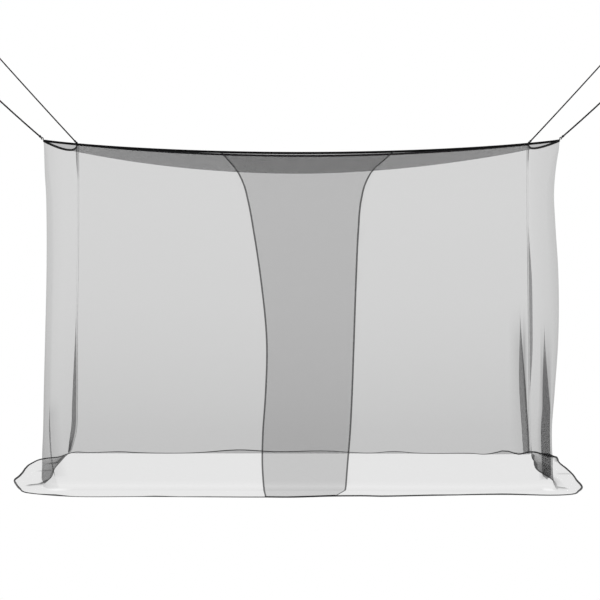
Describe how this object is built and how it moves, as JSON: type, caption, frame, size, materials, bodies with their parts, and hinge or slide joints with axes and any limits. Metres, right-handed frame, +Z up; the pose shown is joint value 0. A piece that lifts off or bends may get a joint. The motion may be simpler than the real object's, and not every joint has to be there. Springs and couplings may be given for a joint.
{
  "type": "mosquito net canopy",
  "caption": "Box-shaped mosquito net hung by corner cords, with a bound sagging roof, walls that reach the floor and a front of two overlapping flaps.",
  "frame": {"origin": "on the floor, at the middle of the cloth's outline seen from above", "axes": "+X along the net's long side, to the right of someone facing its front; -Y out of the front, where the two flaps overlap; +Z up"},
  "size_m": [2.8784, 1.3057, 1.8456],
  "materials": {
    "net": "matt",
    "binding": "matt",
    "cord": "matt"
  },
  "bodies": {
    "root": {"wall_net": "net", "roof_net": "net", "top_binding": "binding", "loop_front_left": "binding", "loop_front_right": "binding", "loop_back_left": "binding", "loop_back_right": "binding", "cord_front_left": "cord", "cord_front_right": "cord", "cord_back_left": "cord", "cord_back_right": "cord", "eye_front_left": "cord", "eye_front_right": "cord", "eye_back_left": "cord", "eye_back_right": "cord"}
  },
  "joints": []
}
